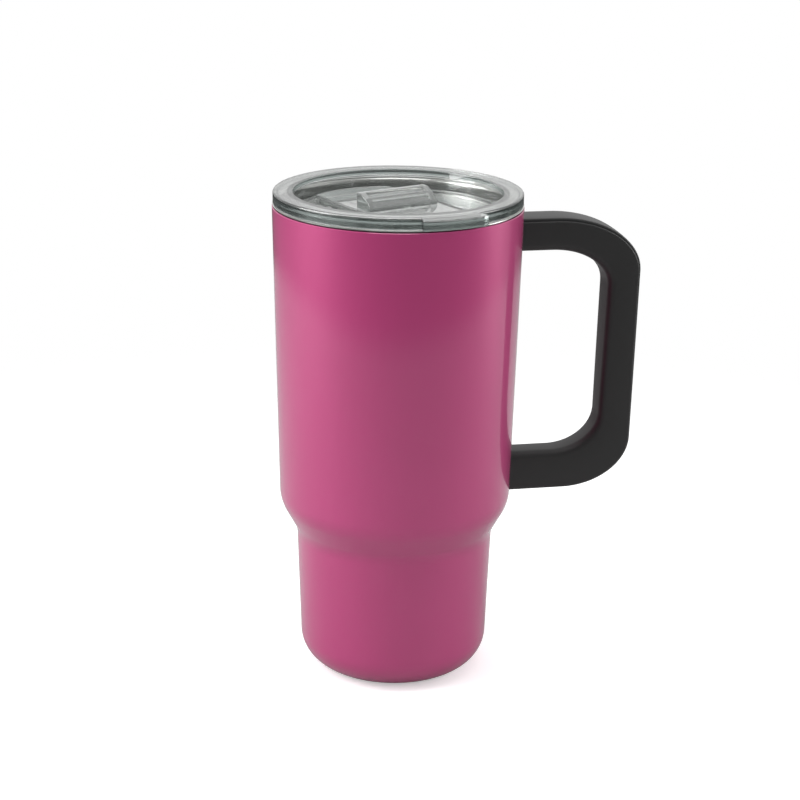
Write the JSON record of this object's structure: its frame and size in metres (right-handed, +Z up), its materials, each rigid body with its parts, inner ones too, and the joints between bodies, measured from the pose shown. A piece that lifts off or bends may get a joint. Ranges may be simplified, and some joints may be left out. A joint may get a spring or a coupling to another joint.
{
  "type": "insulated tumbler with lid",
  "caption": "Stepped double-wall vacuum tumbler with a D-shaped side handle and a clear press-in lid with a sliding drink closure.",
  "frame": {"origin": "centre of the base's rest face, on the cup's axis", "axes": "+Z up along the cup's axis, +X from the axis through the handle, +Y completes the right-handed frame"},
  "size_m": [0.1326, 0.0928, 0.1783],
  "materials": {
    "pink_paint": "gloss lacquer over stainless steel",
    "steel": "brushed stainless steel",
    "screw_steel": "dark zinc-plated steel",
    "solder_glass": "fused glass solder bead",
    "getter_alloy": "pressed getter alloy, matte grey",
    "black_plastic": "satin black moulded plastic",
    "black_trim": "satin black moulded plastic, slightly smoother",
    "clear_plastic": "clear moulded copolyester",
    "silicone": "translucent silicone rubber"
  },
  "bodies": {
    "vessel": {"outer_shell": "pink_paint", "inner_liner": "steel", "outer_bottom": "steel", "base_plate": "steel", "vacuum_plug": "solder_glass", "getter_tablet": "getter_alloy", "getter_clip": "steel", "handle_core": "black_plastic", "handle_cover": "black_trim", "upper_bracket": "steel", "lower_bracket": "steel", "upper_screw": "screw_steel", "lower_screw": "screw_steel"},
    "lid": {"lid_body": "clear_plastic", "lid_gasket": "silicone"},
    "slider": {"lid_slider": "clear_plastic"}
  },
  "joints": [
    {"name": "lid_lift", "type": "slide", "parent": "vessel", "child": "lid", "axis": [0, 0, 1], "range_m": [0, 0.1]},
    {"name": "slider_slide", "type": "slide", "parent": "lid", "child": "slider", "axis": [0.3746, -0.9272, 0], "range_m": [0, 0.014]}
  ]
}
